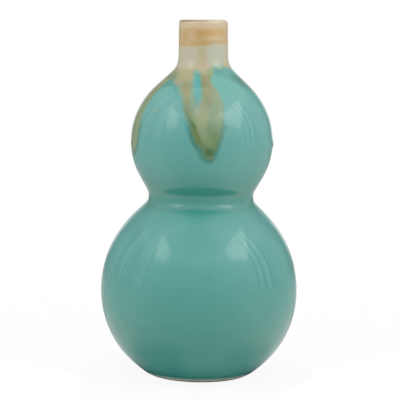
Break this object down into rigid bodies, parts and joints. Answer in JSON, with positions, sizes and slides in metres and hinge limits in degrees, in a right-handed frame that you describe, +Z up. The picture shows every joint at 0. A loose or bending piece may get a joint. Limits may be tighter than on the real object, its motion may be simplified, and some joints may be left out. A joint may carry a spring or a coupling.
{
  "type": "double gourd vase",
  "caption": "Double gourd vase: a large round bulb, a smaller bulb and a straight neck in turquoise glaze, with a pale neck, a brown lip band and olive glaze runs.",
  "frame": {"origin": "middle of the foot, on the surface that the vase stands on", "axes": "+Z up along the vase's axis, -Y towards the viewer, +X to the viewer's right"},
  "size_m": [0.1328, 0.1328, 0.24],
  "materials": {
    "stoneware_body": "matt, fired",
    "joint_slip": "matt, fired",
    "turquoise_glaze": "glossy, pooled darker and thinner at the rims",
    "straw_glaze": "glossy, thin, fading into the turquoise",
    "iron_brown_glaze": "glossy, blotched",
    "olive_glaze": "glossy, streaked",
    "interior_glaze": "glossy",
    "base_glaze": "glossy"
  },
  "bodies": {
    "root": {"foot_ring": "stoneware_body", "foot_joint_slip": "joint_slip", "lower_bowl": "stoneware_body", "lower_belly_joint_slip": "joint_slip", "lower_dome": "stoneware_body", "waist_joint_slip": "joint_slip", "upper_bowl": "stoneware_body", "upper_belly_joint_slip": "joint_slip", "upper_dome": "stoneware_body", "neck_joint_slip": "joint_slip", "neck": "stoneware_body", "turquoise_glaze": "turquoise_glaze", "neck_glaze": "straw_glaze", "lip_band": "iron_brown_glaze", "interior_glaze": "interior_glaze", "base_glaze": "base_glaze", "front_glaze_run": "olive_glaze", "left_glaze_run": "olive_glaze", "back_glaze_run": "olive_glaze"}
  },
  "joints": []
}
